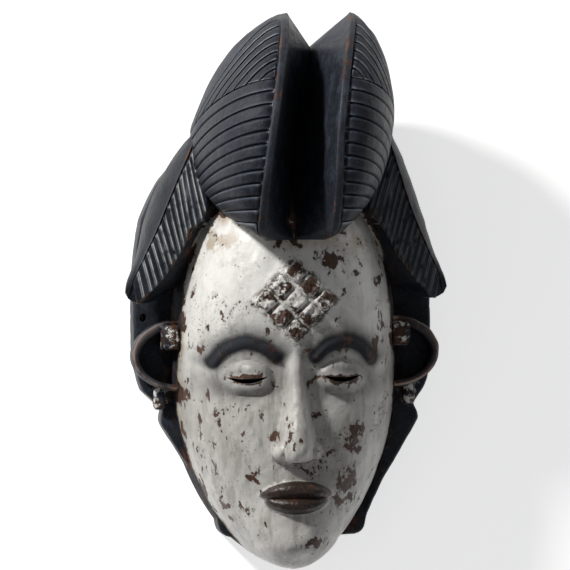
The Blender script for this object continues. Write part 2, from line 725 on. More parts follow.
    def wing_tress_strips(self):
        """The grooved strips of one side tress, and the marks between them."""
        draw = np.random.default_rng(17)
        marks = np.linspace(0.06, 0.97, self.wing_tresses + 1)
        marks[1:-1] += draw.uniform(-0.004, 0.004, self.wing_tresses - 1)
        self.side_marks = marks[1:-1]
        tresses = []
        for k in range(self.wing_tresses):
            first, second = (
                lambda q, mark=mark: (mark + 0 * q, lerp(-0.015, 0.955, q)) for mark in marks[k : k + 2]
            )
            jitter = draw.uniform(-0.12, 0.12)
            tresses.append(self.strip(f"side{k}", WING, first, second, self.wing_surface, 24, jitter, 0.6))
        return tresses

    # Rim, ears and forehead lozenges

    def rim(self):
        """The flat slab round the back, smoothed through its outline's points."""
        half, full = self.rim_width / 2, self.rim_depth
        # One side from the chin up, as shares of half the rim's width and of the face's length
        places = [
            (0.42, 0.087),
            (0.51, 0.152),
            (0.605, 0.24),
            (0.74, 0.345),
            (0.865, 0.44),
            (0.85, 0.487),
            (0.955, 0.545),
            (0.995, 0.64),
            (1, 0.785),
            (0.98, 0.94),
            (0.93, 1.075),
            (0.81, 1.195),
            (0.59, 1.288),
            (0.28, 1.33),
        ]
        right = [(across * half, up * self.face_length) for across, up in places]
        outline = np.array(right + [(-x, y) for x, y in right[::-1]])
        outline[:, 0] += self.rim_shift * np.clip((0.56 - outline[:, 1] / self.face_length) / 0.1, 0, 1)
        smooth = []
        count, tight = len(outline), 0.3
        for i in range(count):
            p0, p1, p2, p3 = (outline[(i + k) % count] for k in (-1, 0, 1, 2))
            m1, m2 = tight * (p2 - p0), tight * (p3 - p1)
            for t in np.linspace(0, 1, 9)[:-1]:
                h = (2 * t**3 - 3 * t**2 + 1, t**3 - 2 * t**2 + t, -2 * t**3 + 3 * t**2, t**3 - t**2)
                smooth.append(h[0] * p1 + h[1] * m1 + h[2] * p2 + h[3] * m2)
        loop = np.array(smooth)
        centre = np.array([0.0, 0.62 * self.face_length])
        spoke = loop - centre
        spoke /= np.linalg.norm(spoke, axis=1, keepdims=True)
        rings = []
        sides = ((0.7, 0), (0.15, 0.25), (0, 0.9), (0, 9), (0, 18), (0, full - 2.4), (0.35, full - 1.2))
        top = ((1.2, full - 0.35), (2.6, full), (9, full), (16, full), (24, full), (40, full))
        for inset, z in ((30, 0), (14, 0), *sides, *top):
            ring = np.column_stack([loop - spoke * inset, np.full(len(loop), float(z))])
            if 0 < z < full:
                ring[:, :2] -= spoke * (0.3 * (1 + tool_marks(ring, 16, 41)))[:, None]
            rings.append(ring)
        return shell("rim", RIM, rings, (0, centre[1], 0), (0, centre[1], full))

    def ear(self):
        """One open ear loop, a band that runs round from the head and back to it."""
        inside = self.half - self.sink
        reach, tall = self.ear_reach - inside, self.ear_length / 2
        turn = np.radians(np.linspace(97, -100, 48))
        share = (turn[0] - turn) / (turn[0] - turn[-1])
        thick = through([(0, 5.6), (0.3, 5.4), (0.55, 4.2), (1, 3.8)])(share)
        top = through([(0, -2.5), (0.25, 0), (0.7, -1.5), (1, -6)])(share) + self.ear_height
        low = self.rim_depth - 5
        rings = []
        for t, w, h in zip(turn, thick, top):
            outer = ((0.3, low), (0, low + 5), (0, h - 3), (0.25, h - 1.4), (0.9, h - 0.5), (1.7, h - 0.1))
            inner = ((w - 1.9, h - 0.6), (w - 0.8, h - 1.0), (w - 0.2, h - 1.7), (w, h - 3.0))
            ring = []
            for inset, z in (*outer, *inner, (w, low + 5), (w - 0.3, low)):
                x = inside + (reach - inset) * math.cos(t)
                y = self.ear_y + (tall - inset) * math.sin(t)
                ring.append((x, y, z))
            rings.append(ring)
        rings = np.array(rings)
        rings += 0.2 * tool_marks(rings, 9, 51)[..., None] * (0.6, 0.6, 0.6)
        return shell("ear", EAR, rings)

    def block(self, name, zone, centre, size, soft, seed):
        """A small rounded block, as a superellipsoid."""
        v = np.linspace(-1, 1, 15)[1:-1] * math.pi / 2
        u = np.linspace(0, 2 * math.pi, 24, endpoint=False)
        power = lambda value: np.sign(value) * np.abs(value) ** soft
        rings = np.stack(
            [
                power(np.cos(v))[:, None] * power(np.cos(u))[None],
                power(np.sin(v))[:, None] + 0 * u[None],
                power(np.cos(v))[:, None] * power(np.sin(u))[None],
            ],
            axis=-1,
        )
        points = rings * np.array(size) / 2 + np.array(centre)
        points += 0.25 * tool_marks(points, 7, seed)[..., None]
        return shell(name, zone, points)

    def lozenges(self):
        """The raised lozenges of the forehead, three by three, each a little tilted and uneven."""
        draw = np.random.default_rng(23)
        step, squareness = self.scar_pitch / math.sqrt(2), 7
        u = np.linspace(0, 2 * math.pi, 40, endpoint=False)
        c, s = np.cos(u), np.sin(u)
        reach = (np.abs(c) ** squareness + np.abs(s) ** squareness) ** (-1 / squareness)
        skirt = ((1.08, -4), (1.04, -0.6), (1.0, 0.12), (0.96, 0.34), (0.9, 0.56))
        crown = ((0.83, 0.75), (0.74, 0.9), (0.6, 0.98), (0.42, 0.95), (0.25, 0.88), (0.1, 0.84))
        bosses = []
        for i, j in itertools.product((-1, 0, 1), repeat=2):
            centre = np.array([(i - j) * step, self.scar_y + (i + j) * step])
            half = 0.44 * self.scar_pitch * draw.uniform(0.96, 1.03)
            height = 3.2 * draw.uniform(0.85, 1.05)
            tilt = draw.uniform(-0.16, 0.16, 2)
            cx, cy = centre + draw.uniform(-0.4, 0.4, 2)
            rings = []
            for share, up in (*skirt, *crown):
                a, b = reach * c * half * share, reach * s * half * share
                x, y = cx + (a - b) / math.sqrt(2), cy + (a + b) / math.sqrt(2)
                z = self.face_height(x, y) + (up * height if up > 0 else up)
                ring = np.stack([x, y, z], axis=-1)
                if up > 0:
                    lean = (x - cx) * tilt[0] + (y - cy) * tilt[1]
                    cuts = 0.6 * tool_marks(ring, 6, 61) + 0.32 * tool_marks(ring, 2.6, 62)
                    ring[:, 2] += up * (lean + cuts)
                rings.append(ring)
            bosses.append(shell(f"lozenge{i}{j}", BOSS, rings))
        return bosses

    # Cuts

    def eye_slit(self):
        """The narrow cut of one eye, through the wall and wider at both ends."""
        half, gap = 0.42 * self.eye, 2.6
        t = np.linspace(0, 1, 24)
        lower = np.stack([lerp(-half, half, t), -3 * gap * 2 * t * (1 - t)], axis=-1)
        upper = np.stack([lerp(half, -half, t), -gap * 2 * t * (1 - t)], axis=-1)[1:-1]
        outline = np.vstack([lower, upper]) + (self.eye, self.eye_y + 0.4 * gap)
        middle = outline.mean(axis=0)
        rings = []
        for z, grow in ((20, 1.5), (70, 1.25), (80, 1.0), (86, 1.02), (92, 1.22), (140, 1.4)):
            wide = middle + (outline - middle) * (1 + 0.1 * (grow - 1), grow)
            rings.append(np.column_stack([wide, np.full(len(wide), float(z))]))
        return shell("slit", SLIT, rings)

    def tie_hole(self):
        """The hole in the rim for a cord, worn wide at both ends."""
        u = np.linspace(0, 2 * math.pi, 20, endpoint=False)
        x, y, full = -0.93 * self.rim_width / 2, 0.765 * self.face_length, self.rim_depth
        rings = []
        lower = ((-8, 2.2), (-0.1, 2.1), (1.5, 1.7))
        upper = ((full - 1.5, 1.6), (full + 0.1, 2.1), (full + 8, 2.3))
        for z, radius in (*lower, *upper):
            ring = [x + radius * np.cos(u), y + 1.25 * radius * np.sin(u), z + 0 * u]
            rings.append(np.stack(ring, axis=-1))
        return shell("tie_hole", RIM, rings)

    # Places that the paint needs

    def leaned(self, places):
        """The crest leans to one side towards its tips, and the lobe on that side is narrower there."""
        up = np.clip((places[:, 1] - self.face_length) / self.crest_rise, 0, 1)
        past = np.maximum(places[:, 0] - self.cleft_width / 2, 0)
        return places + np.outer(self.crest_lean * up**2 - self.crest_taper * past * up**5, (1, 0, 0))

    def worn_lines(self):
        """Points along the ridges of the crest and the edges of the side tresses, where hands rub."""
        at = np.linspace(0, 1, 240)
        lines = [self.ridge(at), self.ridge(at) + (self.band, 0, 0), self.wing_inner(at), self.wing_roof(at)]
        right = np.vstack(lines)
        return np.vstack([right, right * (-1, 1, 1)])

    def side_lines(self):
        """Points along the grooves of the side tresses, where pale dust lies."""
        share = np.linspace(0.04, 0.93, 160)
        depth = 0.6 * self.groove
        right = np.vstack([self.wing_surface(mark + 0 * share, share, depth) for mark in self.side_marks])
        return np.vstack([right, right * (-1, 1, 1)])

    def worn_patches(self, x, y):
        """Places where the white coat is most flaked, 0 to 1."""
        eye, length = self.eye, self.face_length
        # Across in eye widths and up in face lengths, then how far it reaches each way and how worn it is
        places = [
            (1.35, 0.38, 0.32, 0.10, 1.0),
            (1.05, 0.27, 0.34, 0.07, 0.8),
            (-0.75, 0.30, 0.45, 0.045, 0.8),
            (0.0, 0.315, 0.55, 0.03, 0.9),
            (-1.35, 0.48, 0.5, 0.03, 0.7),
            (0.9, 0.575, 0.7, 0.035, 0.55),
            (-0.9, 0.575, 0.6, 0.035, 0.5),
            (-0.9, 0.92, 0.4, 0.03, 0.7),
            (1.0, 0.9, 0.35, 0.08, 0.35),
            (1.95, 0.8, 0.25, 0.12, 0.7),
            (0.25, 0.085, 0.4, 0.03, 0.5),
        ]
        total = 0 * x
        for across, up, wide, tall, share in places:
            place, reach = (across * eye, up * length), (wide * eye, tall * length)
            total = np.maximum(total, share * hill(x, y, place, reach))
        return total

    def crusted_corners(self, x, y):
        """The stained crust at the two corners of the hairline and between them, 0 to 1."""
        corner, between = (0.64 * self.half, 0.985 * self.face_length), (self.half * 0.2, self.face_length)
        return np.maximum(hill(np.abs(x), y, corner, (15, 11)), 0.8 * hill(x, y, between, (30, 7)))

    # All the forms

    def added(self):
        """The forms that are joined to the head."""
        side = [self.lobe_core(), *self.lobe_tresses(), self.wing_core()]
        side += [*self.wing_tress_strips(), self.ear()]
        block_place = (self.half - 0.2 * self.sink, self.ear_y + self.ear_length / 4, 0.55 * self.ear_height)
        side.append(self.block("ear_block", LUMP, block_place, (12, 15, 46), 0.35, 71))
        knob_place = (self.half + 5, self.ear_y - 0.58 * self.ear_length, self.rim_depth)
        side.append(self.block("ear_lobe", LUMP, knob_place, (7, 15, 13), 0.5, 72))
        whole = [self.rim(), *self.lozenges()]
        for form in side:
            whole += [form, form.mirrored()]
        return whole

    def removed(self):
        """The forms that are cut out."""
        slit = self.eye_slit()
        return [self.hollow(), slit, slit.mirrored(), self.tie_hole()]


def join_forms(base, added, removed):
    """One closed mesh: the head with the added forms joined to it and the removed ones cut out."""
    scratch = bpy.data.collections.new("forms")
    cuts = bpy.data.collections.new("cuts")
    for collection, forms in ((scratch, added), (cuts, removed)):
        bpy.context.scene.collection.children.link(collection)
        for form in forms:
            link_mesh(form.name, form.points, form.faces, collection)
    piece = link_mesh("carved_mask", base.points, base.faces, bpy.context.scene.collection)
    for operation, collection in (("UNION", scratch), ("DIFFERENCE", cuts)):
        step = piece.modifiers.new(operation.title(), "BOOLEAN")
        step.operation = operation
        step.operand_type = "COLLECTION"
        step.collection = collection
        step.solver = "MANIFOLD"
    depsgraph = bpy.context.evaluated_depsgraph_get()
    mesh = bpy.data.meshes.new_from_object(piece.evaluated_get(depsgraph))
    piece.modifiers.clear()
    old = piece.data
    piece.data = mesh
    bpy.data.meshes.remove(old)
    for collection in (scratch, cuts):
        for helper in list(collection.objects):
            data = helper.data
            bpy.data.objects.remove(helper)
            bpy.data.meshes.remove(data)
        bpy.data.collections.remove(collection)
    return piece


def tree_of(points):
    tree = KDTree(len(points))
    for i, point in enumerate(points):
        tree.insert(point, i)
    tree.balance()
    return tree


def zones_of(places, forms):
    """The zone of each vertex, from the nearest vertex of the forms it was joined from."""
    tree = tree_of(np.vstack([form.points for form in forms]))
    zones = np.concatenate([np.full(len(form.points), form.zone) for form in forms])
    return np.array([zones[tree.find(place)[1]] for place in places])


def vertex_places(mesh):
    flat = np.empty(len(mesh.vertices) * 3, np.float32)
    mesh.vertices.foreach_get("co", flat)
    return flat.reshape(-1, 3).astype(float)


def edge_pairs(mesh):
    flat = np.empty(len(mesh.edges) * 2, np.int32)
    mesh.edges.foreach_get("vertices", flat)
    return flat.reshape(-1, 2)


def spread(values, pairs, rounds):
    """Values averaged with those of the vertices next to them."""
    counts = np.bincount(pairs.ravel(), minlength=len(values)).astype(float) + 1
    for _ in range(rounds):
        total = values.copy()
        np.add.at(total, pairs[:, 0], values[pairs[:, 1]])
        np.add.at(total, pairs[:, 1], values[pairs[:, 0]])
        values = total / counts
    return values


def convexity(mesh, places, pairs):
    """How sharply each vertex stands out (positive) or lies in a groove (negative), per millimetre."""
    flat = np.empty(len(mesh.vertices) * 3, np.float32)
    mesh.vertices.foreach_get("normal", flat)
    normals = flat.reshape(-1, 3).astype(float)
    a, b = pairs[:, 0], pairs[:, 1]
    gap = places[b] - places[a]
    size = np.maximum(np.einsum("ij,ij->i", gap, gap), 1e-3)
    bend = np.einsum("ij,ij->i", normals[b] - normals[a], gap) / size
    total = np.zeros(len(places))
    count = np.zeros(len(places))
    for side in (a, b):
        np.add.at(total, side, bend)
        np.add.at(count, side, 1)
    return total / np.maximum(count, 1)


def distance_to(places, chosen, targets):
    """Distance from the chosen vertices to the nearest target vertex; far for the rest."""
    out = np.full(len(places), 1e3)
    tree = tree_of(targets)
    for i in np.flatnonzero(chosen):
        out[i] = tree.find(places[i])[2]
    return out


def mark_zones(mesh, carving, forms):
    """Stores the values that the materials paint from, and gives the zone of each vertex."""
    places = vertex_places(mesh)
    zones = zones_of(places, forms)
    pairs = edge_pairs(mesh)
    x, y, z = places.T
    bend = np.clip(convexity(mesh, places, pairs), -2.5, 2.5)
    white = np.isin(zones, (HEAD, BOSS))
    hair = np.isin(zones, (HAIR, WING, RIM, EAR, LUMP))
    wing, boss, lump = zones == WING, zones == BOSS, zones == LUMP
    in_front = white & (z > 0.55 * carving.face_depth)

    hair_gap = distance_to(places, white, places[hair])
    side_low = lerp(30, 47, ease(0.45, 0.75, y / carving.face_length))
    hairline = carving.face_length + 18 - y
    coat_edge = np.minimum(np.minimum(z - side_low, hair_gap), hairline)
    brow_gap, _, brow_line = carving.brow_distance(x, y)
    brow_gap = brow_gap * (1 + 0.9 * ease(-3, 5, brow_line - y))
    lip = np.full(len(places), -1.0)
    for one in carving.lips(x, y):
        lip = np.maximum(lip, one)
    eye_gap = np.hypot(np.abs(x) - carving.eye, (y - carving.eye_y + 1.6) * 2.4)
    scar_gap = np.abs(x) + np.abs(y - carving.scar_y) - 1.5 * math.sqrt(2) * carving.scar_pitch
    roof = carving.wing_roof(np.linspace(1, 0, 120))
    outer = wing * ease(0.3, 1.5, np.abs(x) - np.interp(y, roof[:, 1], roof[:, 0]))
    in_line = ease(1.25, 0.7, distance_to(places, wing, carving.side_lines()))

    values = {
        "edge": np.clip(spread(np.maximum(bend, 0), pairs, 2), 0, 1.5),
        "groove": np.clip(spread(np.maximum(-bend, 0), pairs, 2), 0, 1.5),
        "hair_gap": np.clip(hair_gap, 0, FAR),
        "face_gap": np.clip(distance_to(places, hair, places[white & (hair_gap < 2)]), 0, FAR),
        "coat_edge": np.where(white, coat_edge, -10),
        "brow_gap": np.where(in_front, brow_gap, FAR),
        "lip": np.where(in_front, lip, -1),
        "eye_gap": np.where(in_front, eye_gap, FAR),
        "lozenge": boss,
        "boss_rise": np.where(boss, z - carving.face_height(x, y), 0),
        "scar_gap": np.where(in_front, scar_gap, FAR),
        "ear": lump | (zones == EAR),
        "lump": lump,
        "ridge_gap": np.clip(distance_to(places, hair, carving.worn_lines()), 0, FAR),
        "dusted": 1 - 0.9 * outer,
        "line": in_line * np.where(x > 0, 0.35, 1),
        "wear": np.where(in_front, carving.worn_patches(x, y), 0),
        "corner": np.where(white, carving.crusted_corners(x, y), 0),
    }
    for name, value in values.items():
        layer = mesh.attributes.new(name, "FLOAT", "POINT")
        layer.data.foreach_set("value", np.asarray(value, np.float32))
    return zones


# Materials


class Nodes:
    """A short way to lay out and wire shader nodes."""

    def __init__(self, tree):
        self.tree = tree

    def add(self, kind, settings=None, **inputs):
        node = self.tree.nodes.new(kind)
        for key, value in (settings or {}).items():
            setattr(node, key, value)
        for key, value in inputs.items():
            socket = self.socket(node, key)
            if isinstance(value, bpy.types.NodeSocket):
                self.tree.links.new(value, socket)
            else:
                socket.default_value = value
        return node

    def socket(self, node, key):
        if key.startswith("_"):
            return node.inputs[int(key[1:])]
        return node.inputs[key.replace("_", " ")]

    def math(self, operation, a, b=0.0, clamp=False):
        return self.add("ShaderNodeMath", {"operation": operation, "use_clamp": clamp}, _0=a, _1=b).outputs[0]

    def plus(self, first, *rest):
        for term in rest:
            first = self.math("ADD", first, term)
        return first

    def times(self, first, *rest):
        for term in rest:
            first = self.math("MULTIPLY", first, term)
        return first

    def most(self, first, *rest):
        for term in rest:
            first = self.math("MAXIMUM", first, term)
        return first

    def ramp(self, value, low, high):
        """Rises smoothly from 0 to 1 between low and high, or falls where low is the larger."""
        limits = {"_0": value, "_1": low, "_2": high, "_3": 0.0, "_4": 1.0}
        return self.add("ShaderNodeMapRange", {"interpolation_type": "SMOOTHSTEP"}, **limits).outputs[0]

    def mix(self, share, a, b):
        node = self.add("ShaderNodeMix", {"data_type": "RGBA"}, _0=share, _6=a, _7=b)
        return node.outputs[2]

    def noise(self, vector, scale, detail=4.0, rough=0.55, distortion=0.0):
        shape = {"Scale": scale, "Detail": detail, "Roughness": rough, "Distortion": distortion}
        return self.add("ShaderNodeTexNoise", None, Vector=vector, **shape).outputs["Fac"]

    def scaled(self, vector, scale):
        return self.add("ShaderNodeVectorMath", {"operation": "SCALE"}, _0=vector, Scale=scale).outputs[0]

    def stretched(self, vector, scale):
        node = self.add("ShaderNodeMapping", None, Vector=vector, Scale=scale)
        return node.outputs["Vector"]

    def attribute(self, name):
        return self.add("ShaderNodeAttribute", {"attribute_name": name}).outputs["Fac"]

    def places(self):
        return self.add("ShaderNodeTexCoord").outputs["Object"]

    def group(self, tree, **inputs):
        return self.add("ShaderNodeGroup", {"node_tree": tree}, **inputs).outputs

    def link(self, value, socket):
        self.tree.links.new(value, socket)

    def surface(self, colour, rough, height, depth, strength=0.6):
        """The material's shader, with a bump of the given depth in metres; gives the shader's inputs."""
        bump = self.add("ShaderNodeBump", None, Strength=strength, Distance=depth, Height=height).outputs[0]
        shader = self.add("ShaderNodeBsdfPrincipled", None, Base_Color=colour, Roughness=rough, Normal=bump)
        self.add("ShaderNodeOutputMaterial", None, Surface=shader.outputs[0])
        return shader.inputs


def new_group(name, inputs, outputs):
    """An empty node group with the inputs and outputs named; Vector is a vector, the rest are numbers."""
    group = bpy.data.node_groups.new(name, "ShaderNodeTree")
    for way, labels in (("INPUT", inputs), ("OUTPUT", outputs)):
        for label in labels:
            kind = "NodeSocketVector" if label == "Vector" else "NodeSocketFloat"
            group.interface.new_socket(name=label, in_out=way, socket_type=kind)
    nodes = Nodes(group)
    start, end = nodes.add("NodeGroupInput"), nodes.add("NodeGroupOutput")
    return group, nodes, start.outputs, end.inputs


def wood_grain_group():
    """Long fibres along Y, with a colour share and a height."""
    group, n, get, put = new_group("Wood Grain", ("Vector", "Scale"), ("Grain", "Height"))
    place = n.scaled(get["Vector"], get["Scale"])
    wide = n.noise(n.stretched(place, (1.0, 0.12, 1.0)), 1.0, 5.0, 0.6, 0.6)
    fine = n.noise(n.stretched(place, (5.0, 0.25, 5.0)), 1.0, 3.0, 0.6)
    both = n.plus(n.times(wide, 0.6), n.times(fine, 0.4))
    n.link(n.ramp(both, 0.38, 0.62), put["Grain"])
    n.link(both, put["Height"])
    return group


def chip_group():
    """Where a coat has flaked off: ragged islands that grow with Amount."""
    group, n, get, put = new_group("Flaked Coat", ("Vector", "Scale", "Amount"), ("Lost", "Edge"))
    place = n.scaled(get["Vector"], get["Scale"])
    big = n.noise(place, 1.0, 4.0, 0.55, 0.4)
    fine = n.noise(n.stretched(place, (1, 0.7, 1)), 4.5, 4.0, 0.65)
    field = n.plus(n.times(big, 0.8), n.times(fine, 0.2))
    level = n.math("SUBTRACT", 0.86, n.times(get["Amount"], 0.62))
    over = n.math("SUBTRACT", field, level)
    n.link(n.ramp(over, -0.006, 0.006), put["Lost"])
    n.link(n.ramp(over, -0.05, 0.0), put["Edge"])
    return group


def rubbed_group():
    """Rubbed edges: the stored edge value broken up by noise."""
    group, n, get, put = new_group("Rubbed Edge", ("Vector", "Edge", "Amount"), ("Rubbed",))
    patch = n.noise(get["Vector"], 70.0, 3.0, 0.6)
    fine = n.noise(get["Vector"], 420.0, 3.0, 0.6)
    broken = n.plus(n.times(patch, 0.75), n.times(fine, 0.35))
    worn = n.times(get["Edge"], n.times(n.ramp(broken, 0.42, 0.66), get["Amount"]))
    n.link(n.ramp(worn, 0.12, 0.42), put["Rubbed"])
    return group


def grime_group():
    """Patchy dirt with fine specks."""
    group, n, get, put = new_group("Grime", ("Vector", "Groove"), ("Dirt", "Specks"))
    cloud = n.ramp(n.noise(get["Vector"], 22.0, 5.0, 0.6), 0.45, 0.75)
    streak = n.ramp(n.noise(n.stretched(get["Vector"], (3.0, 0.6, 1.0)), 60.0, 4.0, 0.6), 0.5, 0.8)
    dirt = n.plus(n.times(cloud, 0.35), n.times(streak, 0.3))
    n.link(n.math("ADD", dirt, n.times(get["Groove"], 0.9), clamp=True), put["Dirt"])
    cluster = n.ramp(n.noise(get["Vector"], 38.0, 4.0, 0.6), 0.46, 0.68)
    specks = n.ramp(n.noise(get["Vector"], 620.0, 3.0, 0.55), 0.60, 0.66)
    n.link(n.times(specks, cluster), put["Specks"])
    return group


def rgba(colour):
    return (*colour, 1.0)


def new_material(name):
    material = bpy.data.materials.new(name)
    material.use_nodes = True
    material.node_tree.nodes.clear()
    return material, Nodes(material.node_tree)


def face_coat(finish, groups):
    """White mineral coat with flaked patches, dark brows, lips and sides."""
    material, n = new_material("white_face_coat")
    place = n.places()
    edge, groove, wear, corner = (n.attribute(key) for key in ("edge", "groove", "wear", "corner"))
    hair_gap, coat_edge = n.attribute("hair_gap"), n.attribute("coat_edge")
    brow, lip, eye = (n.attribute(key) for key in ("brow_gap", "lip", "eye_gap"))
    boss, scar, boss_rise = (n.attribute(key) for key in ("lozenge", "scar_gap", "boss_rise"))
    grain = n.group(groups["grain"], Vector=place, Scale=260.0)
    grime = n.group(groups["grime"], Vector=place, Groove=groove)
    ragged = n.times(n.plus(n.noise(place, 95.0, 5.0, 0.65), -0.5), 9.0)
    patchy = n.ramp(n.noise(place, 17.0, 3.0, 0.5), 0.46, 0.62)
    cluster = n.ramp(n.noise(n.stretched(place, (1.3, 0.8, 1.0)), 26.0, 4.0, 0.6), 0.5, 0.66)

    # Flakes in two sizes, and cracks
    near_hair = n.ramp(n.plus(hair_gap, ragged), 16.0, 1.0)
    amount = n.plus(
        n.times(n.ramp(n.plus(hair_gap, n.times(ragged, 0.35)), 2.2, 0.6), 0.55),
        n.times(near_hair, patchy, 0.17),
        n.times(n.ramp(coat_edge, 10.0, 0.0), 0.16),
        n.times(edge, 0.2),
        n.times(n.ramp(eye, 11.0, 3.0), 0.22),
        n.times(wear, 0.145),
        0.39,
    )
    chips = n.group(groups["chip"], Vector=place, Scale=78.0, Amount=amount)
    small_amount = n.plus(n.times(amount, 0.72), n.times(cluster, 0.1), 0.04)
    streaked = n.stretched(place, (1.25, 0.75, 1.0))
    small = n.group(groups["chip"], Vector=streaked, Scale=150.0, Amount=small_amount)
    curl = n.plus(n.noise(n.stretched(place, (1.6, 0.7, 1.0)), 34.0, 6.0, 0.6, 0.6), -0.5)
    cracked = n.ramp(n.plus(cluster, wear, near_hair), 0.5, 1.2)
    crack = n.times(n.ramp(n.math("ABSOLUTE", curl), 0.007, 0.001), cracked)

    # The white, with grime that is heavier towards the chin, and crust along the hair and sides
    low = n.ramp(n.add("ShaderNodeSeparateXYZ", None, Vector=place).outputs["Y"], 0.015, -0.075)
    cloud = n.ramp(n.noise(place, 30.0, 5.0, 0.6), 0.35, 0.7)
    drag = n.ramp(n.noise(n.stretched(place, (2.2, 0.5, 1.0)), 85.0, 5.0, 0.65), 0.46, 0.72)
    grimed = n.plus(
        n.times(grime["Dirt"], 0.55),
        n.times(drag, n.plus(n.times(low, 0.3), 0.22)),
        n.times(low, n.plus(n.times(cloud, 0.3), 0.48)),
    )
    white = n.mix(n.math("MINIMUM", grimed, 0.9), rgba(finish.kaolin), rgba(finish.kaolin_shade))
    stain = n.most(
        n.times(n.ramp(n.plus(hair_gap, ragged), 9.0, 0.5), 0.85),
        n.times(corner, n.ramp(n.noise(place, 75.0, 6.0, 0.65), 0.45, 0.56), 0.8),
        n.times(n.ramp(n.plus(coat_edge, ragged), 8.0, 1.0), 0.5),
    )
    white = n.mix(stain, white, rgba(finish.crust))
    white = n.mix(n.times(grime["Specks"], 0.85), white, rgba(finish.blackening))
    white = n.mix(n.times(chips["Edge"], 0.4), white, rgba(finish.kaolin_shade))
    white = n.mix(n.times(crack, 0.75), white, rgba(finish.chip))
    bare = n.mix(grain["Grain"], rgba(finish.chip), rgba(finish.bare_edge))

    # Black on the brows, round the eyes and on the sides
    dark_brow = n.ramp(n.plus(brow, n.times(ragged, 0.3)), 7.4, 3.6)
    smudge = n.times(n.ramp(n.plus(brow, n.times(ragged, 0.6)), 16.0, 2.0), 0.86)
    socket = n.times(n.ramp(n.plus(eye, n.times(ragged, 1.4)), 40.0, 14.0), n.plus(n.times(cloud, 0.3), 0.36))
    around_eye = n.times(socket, n.ramp(eye, 6.0, 15.0))
    dark_lip = n.ramp(n.plus(lip, n.times(ragged, 0.05)), 0.02, 0.2)
    dark_side = n.ramp(n.plus(coat_edge, n.times(ragged, 0.5)), 2.4, -1.0)
    dark_eye = n.times(n.ramp(eye, 6.5, 3.0), 0.85)
    dark = n.most(dark_brow, dark_eye, dark_side)
    shade = n.mix(n.most(smudge, around_eye), white, rgba(finish.smoke))

    # The lozenges, rubbed bare with white left on their tops, and dirt between them
    middle = n.times(n.ramp(scar, -9.0, -20.0), 0.09)
    rubbed_white = n.plus(n.noise(place, 120.0, 5.0, 0.65), n.times(boss_rise, -0.02), middle)
    top_white = n.ramp(rubbed_white, 0.455, 0.5)
    boss_bare = n.times(boss, n.plus(1.0, n.times(top_white, -0.97)))
    in_scar = n.ramp(scar, 3.0, -1.0)
    pit = n.times(in_scar, n.ramp(n.noise(place, 150.0, 3.0, 0.55), 0.57, 0.61))
    gap_dirt = n.ramp(n.noise(place, 170.0, 5.0, 0.6), 0.5, 0.56)
    gap_dirt = n.times(in_scar, n.plus(1.0, n.times(boss, -1.0)), gap_dirt, 0.8)
    lost = n.most(chips["Lost"], n.times(small["Lost"], 0.9), boss_bare, gap_dirt)
    shade = n.mix(lost, shade, bare)
    shade = n.mix(n.times(pit, 0.85), shade, rgba(finish.chip))

    black = n.mix(n.ramp(ragged, 0.0, 1.4), rgba(finish.blackening), bare)
    colour = n.mix(n.times(dark, 0.99), shade, black)
    lip_brown = n.mix(n.ramp(n.noise(place, 110.0, 5.0, 0.6), 0.5, 0.66), rgba(finish.old_lip), bare)
    colour = n.mix(n.times(dark_lip, 0.99), colour, lip_brown)

    rough = n.plus(
        n.times(lost, 0.12),
        n.times(grime["Dirt"], 0.2),
        n.times(n.most(dark, smudge), 0.42),
        n.times(dark_lip, -0.08),
        0.34,
    )
    crusty = n.plus(n.times(n.ramp(scar, 8.0, -2.0), 1.6), n.times(corner, 0.7), n.times(wear, 0.35))
    height = n.plus(
        n.times(lost, -0.4),
        n.times(crack, -0.3),
        n.times(grain["Height"], 0.14),
        n.times(n.noise(place, 150.0, 6.0, 0.65), n.plus(n.times(patchy, 0.7), 0.5)),
        n.times(n.noise(place, 210.0, 5.0, 0.7), crusty),
    )
    n.surface(colour, rough, height, 0.0013, strength=0.65)["Specular IOR Level"].default_value = 0.38
    return material


